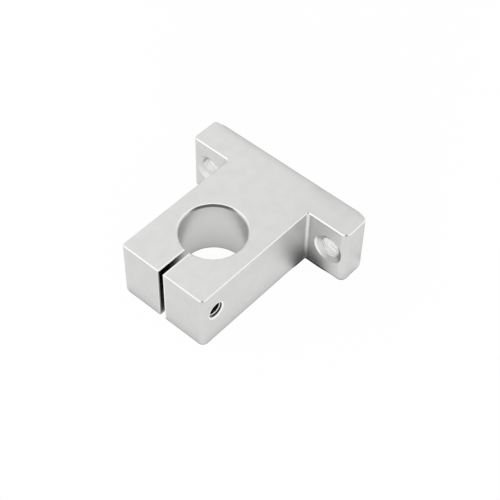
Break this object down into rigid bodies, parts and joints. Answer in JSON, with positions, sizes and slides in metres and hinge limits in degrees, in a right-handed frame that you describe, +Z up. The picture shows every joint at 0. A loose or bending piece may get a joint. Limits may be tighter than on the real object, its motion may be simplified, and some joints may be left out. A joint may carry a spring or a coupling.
{
  "type": "shaft support block",
  "caption": "T-shaped aluminium support block that clamps a round shaft in a slit bore, with a flanged base and a recessed socket head clamp screw across the slit.",
  "frame": {"origin": "centre of the base's mounting face", "axes": "+X along the base, towards the clamp screw's head; +Y along the shaft bore; +Z up from the mounting face"},
  "size_m": [0.048, 0.016, 0.044],
  "materials": {
    "anodised_aluminium": "fine blasted and clear anodised, matt light grey",
    "black_steel": "black oxide with a thin oil film"
  },
  "bodies": {
    "block": {"support_block": "anodised_aluminium"},
    "screw": {"clamp_screw": "black_steel"}
  },
  "joints": [
    {"name": "clamp_screw_turn", "type": "hinge", "parent": "block", "child": "screw", "pos_m": [0.008, -0.0012, 0.0395], "axis": [1, 0, 0], "range_deg": [0, 450]}
  ]
}
